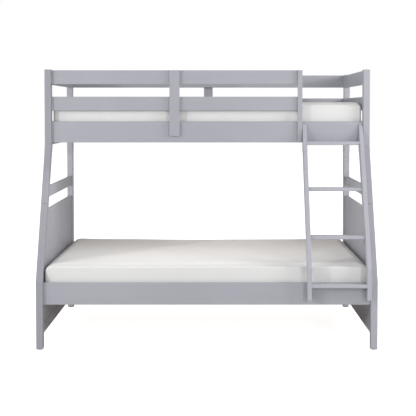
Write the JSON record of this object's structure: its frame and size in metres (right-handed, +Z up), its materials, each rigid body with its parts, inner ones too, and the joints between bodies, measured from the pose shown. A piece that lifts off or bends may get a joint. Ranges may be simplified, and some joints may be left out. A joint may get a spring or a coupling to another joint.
{
  "type": "bunk bed",
  "caption": "Wooden bunk bed, narrow over wide: raked front legs, guard rails, leaning ladder, slatted bases, grooved end panels and a mattress on each level.",
  "frame": {"origin": "on the floor, under the middle of the bed's box", "axes": "+X along the bed towards the ladder end, +Y from the ladder side to the wall side, +Z up"},
  "size_m": [2.007, 1.4974, 1.66],
  "materials": {
    "painted_wood": "satin",
    "slat_wood": "matte",
    "mattress_fabric": "matte",
    "zinc_steel": "satin",
    "glide_plastic": "matte"
  },
  "bodies": {
    "lower_bunk": {"floor_glides": "glide_plastic", "left_end_panel": "painted_wood", "left_panel_bottom_rail": "painted_wood", "left_panel_top_rail": "painted_wood", "lower_base_screws": "zinc_steel", "lower_front_cleat": "slat_wood", "lower_front_rail": "painted_wood", "lower_left_front_post": "painted_wood", "lower_left_rear_post": "painted_wood", "lower_mattress": "mattress_fabric", "lower_rail_bolts": "zinc_steel", "lower_rail_nuts": "zinc_steel", "lower_rear_cleat": "slat_wood", "lower_rear_rail": "painted_wood", "lower_right_front_post": "painted_wood", "lower_right_rear_post": "painted_wood", "lower_slats": "slat_wood", "post_dowel_pins": "zinc_steel", "right_end_panel": "painted_wood", "right_panel_bottom_rail": "painted_wood", "right_panel_top_rail": "painted_wood"},
    "upper_bunk": {"front_guard_mid_rail": "painted_wood", "front_guard_slat": "painted_wood", "front_guard_top_rail": "painted_wood", "guard_screws": "zinc_steel", "guard_upright": "painted_wood", "ladder_left_stile": "painted_wood", "ladder_right_stile": "painted_wood", "ladder_rung_1": "painted_wood", "ladder_rung_2": "painted_wood", "ladder_rung_3": "painted_wood", "ladder_rung_4": "painted_wood", "ladder_screws": "zinc_steel", "left_bed_end_rail": "painted_wood", "left_cross_rail": "painted_wood", "left_guard_mid_end_rail": "painted_wood", "left_guard_top_end_rail": "painted_wood", "rear_guard_mid_rail": "painted_wood", "rear_guard_slat": "painted_wood", "rear_guard_top_rail": "painted_wood", "right_bed_end_rail": "painted_wood", "right_cross_rail": "painted_wood", "right_guard_mid_end_rail": "painted_wood", "right_guard_top_end_rail": "painted_wood", "rung_screws": "zinc_steel", "upper_base_screws": "zinc_steel", "upper_front_cleat": "slat_wood", "upper_front_rail": "painted_wood", "upper_left_front_post": "painted_wood", "upper_left_rear_post": "painted_wood", "upper_rail_bolts": "zinc_steel", "upper_rail_nuts": "zinc_steel", "upper_rear_cleat": "slat_wood", "upper_rear_rail": "painted_wood", "upper_right_front_post": "painted_wood", "upper_right_rear_post": "painted_wood", "upper_slats": "slat_wood"},
    "upper_mattress": {"upper_mattress": "mattress_fabric"}
  },
  "joints": [
    {"name": "upper_bunk_lift", "type": "slide", "parent": "lower_bunk", "child": "upper_bunk", "axis": [0, 0, 1], "range_m": [0, 0.08]},
    {"name": "upper_mattress_lift", "type": "slide", "parent": "upper_bunk", "child": "upper_mattress", "axis": [0, 0, 1], "range_m": [0, 0.42]}
  ]
}
